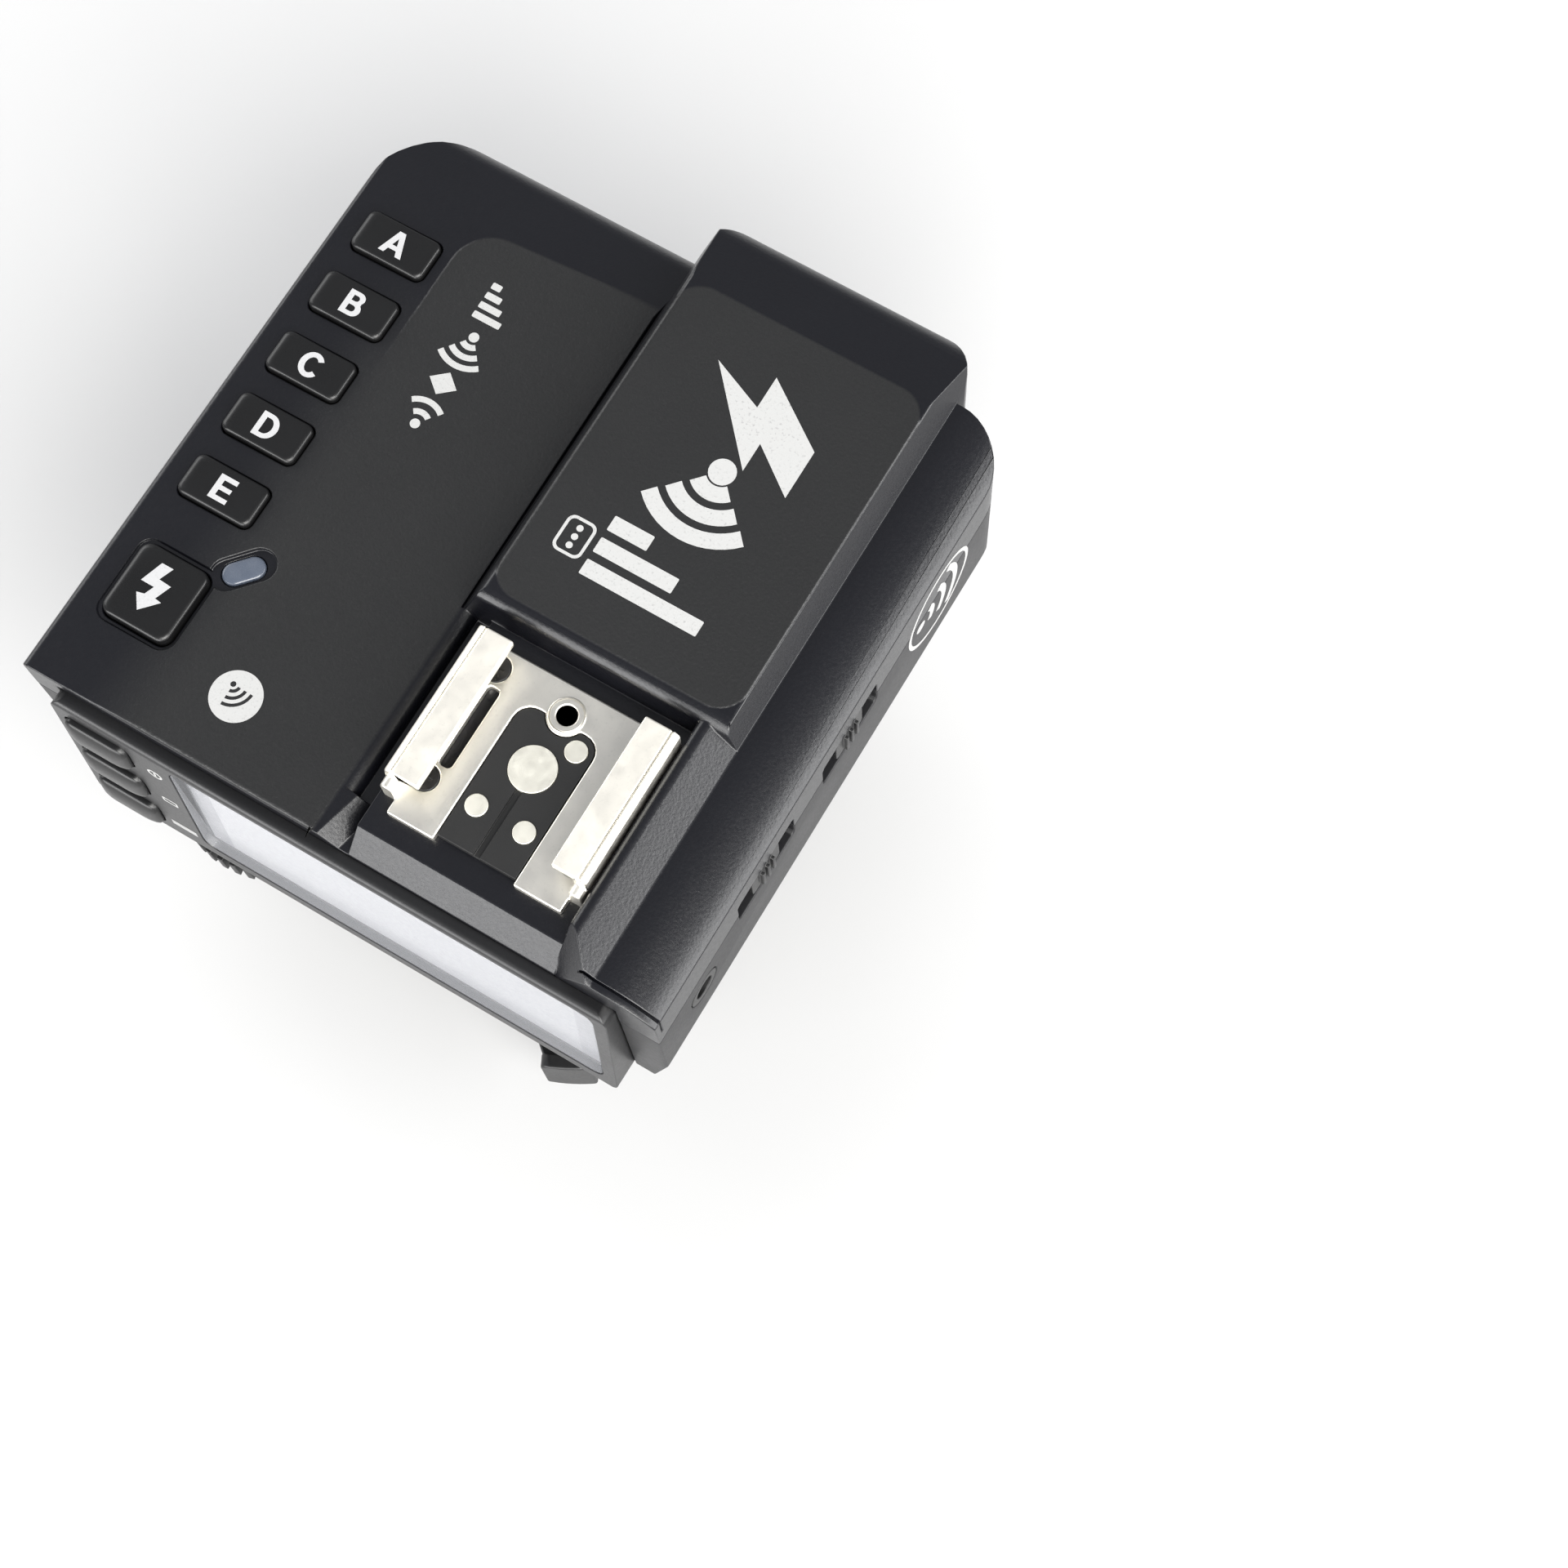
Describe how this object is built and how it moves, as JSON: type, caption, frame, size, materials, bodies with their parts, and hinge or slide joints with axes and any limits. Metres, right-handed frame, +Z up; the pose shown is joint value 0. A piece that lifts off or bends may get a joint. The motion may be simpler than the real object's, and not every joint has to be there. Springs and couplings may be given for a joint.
{
  "type": "wireless flash trigger",
  "caption": "Shoe-mounted radio transmitter for studio flashes, with group buttons, a rear display, a thumb wheel, a pass-through shoe on top and a locking foot.",
  "frame": {"origin": "centre of the foot plate's underside, directly below the top shoe's centre contact", "axes": "+X to the right seen from behind the camera, +Y towards the subject, +Z up out of the camera's shoe"},
  "size_m": [0.0704, 0.0755, 0.0592],
  "materials": {
    "shell_top": "fine moulded grain",
    "shell_bottom": "fine moulded grain",
    "bezel": "satin",
    "window": "clear",
    "lcd": "pale, blank",
    "key": "satin",
    "lens": "translucent",
    "silicone": "matte",
    "circuit_board": "solder mask",
    "shield": "tinned",
    "copper": "plain",
    "black_part": "plain",
    "nickel": "nickel plated sheet",
    "contact": "turned",
    "insulator": "plain",
    "steel": "plated",
    "red_lens": "deep red",
    "lamp": "clear",
    "cell": "sleeve",
    "gold": "gold plated"
  },
  "bodies": {
    "casing": {"top_cover": "shell_top", "bottom_case": "shell_bottom", "display_bezel": "bezel", "display_window": "window", "lcd_module": "lcd", "display_board": "circuit_board", "menu_switches": "black_part", "status_lens": "lens", "keypad_mat": "silicone", "keypad_board": "circuit_board", "main_board": "circuit_board", "radio_module": "shield", "antenna": "copper", "buzzer": "black_part", "shoe_plate": "nickel", "shoe_springs": "nickel", "shoe_insulator": "insulator", "shoe_contacts": "contact", "shoe_screws": "steel", "wheel_axle": "steel", "wheel_encoder": "black_part", "side_switches": "black_part", "sync_jack": "black_part", "usb_port": "shield", "af_window": "red_lens", "af_lamp": "lamp", "aa_cells": "cell", "battery_tray": "black_part", "battery_springs": "shield", "battery_contacts": "shield", "door_pin": "steel", "foot_block": "black_part", "foot_plate": "steel", "foot_insulator": "insulator", "lever_collar": "black_part", "case_screws": "steel", "foot_screws": "steel"},
    "button_a": {"button_a": "key"},
    "button_b": {"button_b": "key"},
    "button_c": {"button_c": "key"},
    "button_d": {"button_d": "key"},
    "button_e": {"button_e": "key"},
    "test_button": {"test_button": "key"},
    "menu_button_1": {"menu_button_1": "key"},
    "menu_button_2": {"menu_button_2": "key"},
    "menu_button_3": {"menu_button_3": "key"},
    "select_wheel": {"select_wheel": "black_part"},
    "power_switch": {"power_switch_knob": "black_part"},
    "af_switch": {"af_switch_knob": "black_part"},
    "battery_door": {"battery_door": "shell_bottom", "door_contact": "shield"},
    "lock_lever": {"lock_lever": "black_part"},
    "lock_pin": {"lock_pin": "steel"},
    "foot_contacts": {"foot_contacts": "gold"}
  },
  "joints": [
    {"name": "button_a_press", "type": "slide", "parent": "casing", "child": "button_a", "axis": [0, 0, -1], "range_m": [0, 0.0008], "stiffness_N_per_m": 500, "springref_m": -0.0004},
    {"name": "button_b_press", "type": "slide", "parent": "casing", "child": "button_b", "axis": [0, 0, -1], "range_m": [0, 0.0008], "stiffness_N_per_m": 500, "springref_m": -0.0004},
    {"name": "button_c_press", "type": "slide", "parent": "casing", "child": "button_c", "axis": [0, 0, -1], "range_m": [0, 0.0008], "stiffness_N_per_m": 500, "springref_m": -0.0004},
    {"name": "button_d_press", "type": "slide", "parent": "casing", "child": "button_d", "axis": [0, 0, -1], "range_m": [0, 0.0008], "stiffness_N_per_m": 500, "springref_m": -0.0004},
    {"name": "button_e_press", "type": "slide", "parent": "casing", "child": "button_e", "axis": [0, 0, -1], "range_m": [0, 0.0008], "stiffness_N_per_m": 500, "springref_m": -0.0004},
    {"name": "test_button_press", "type": "slide", "parent": "casing", "child": "test_button", "axis": [0, 0, -1], "range_m": [0, 0.0009], "stiffness_N_per_m": 500, "springref_m": -0.0004},
    {"name": "menu_button_1_press", "type": "slide", "parent": "casing", "child": "menu_button_1", "axis": [0, 0.9976, -0.0698], "range_m": [0, 0.0006], "stiffness_N_per_m": 500, "springref_m": -0.0004},
    {"name": "menu_button_2_press", "type": "slide", "parent": "casing", "child": "menu_button_2", "axis": [0, 0.9976, -0.0698], "range_m": [0, 0.0006], "stiffness_N_per_m": 500, "springref_m": -0.0004},
    {"name": "menu_button_3_press", "type": "slide", "parent": "casing", "child": "menu_button_3", "axis": [0, 0.9976, -0.0698], "range_m": [0, 0.0006], "stiffness_N_per_m": 500, "springref_m": -0.0004},
    {"name": "select_wheel_turn", "type": "hinge", "parent": "casing", "child": "select_wheel", "pos_m": [-0.0303, -0.006, 0.0245], "axis": [0, 0, 1], "continuous": true},
    {"name": "power_switch_slide", "type": "slide", "parent": "casing", "child": "power_switch", "axis": [0, -1, 0], "range_m": [0, 0.0024]},
    {"name": "af_switch_slide", "type": "slide", "parent": "casing", "child": "af_switch", "axis": [0, -1, 0], "range_m": [0, 0.0024]},
    {"name": "battery_door_hinge", "type": "hinge", "parent": "casing", "child": "battery_door", "pos_m": [-0.0472, 0.02825, 0.0255], "axis": [0, -1, 0], "range_deg": [0, 95]},
    {"name": "lock_lever_turn", "type": "hinge", "parent": "casing", "child": "lock_lever", "pos_m": [0, 0, 0.006], "axis": [0, 0, -1], "range_deg": [0, 60]},
    {"name": "lock_pin_lift", "type": "slide", "parent": "casing", "child": "lock_pin", "axis": [0, 0, 1], "range_m": [0, 0.0016]},
    {"name": "foot_contacts_press", "type": "slide", "parent": "casing", "child": "foot_contacts", "axis": [0, 0, 1], "range_m": [0, 0.0005], "stiffness_N_per_m": 400, "springref_m": -0.0005}
  ],
  "couplings": [
    {"joint": "lock_lever_turn", "follows": "lock_pin_lift", "rad_per_m": 654.5}
  ]
}
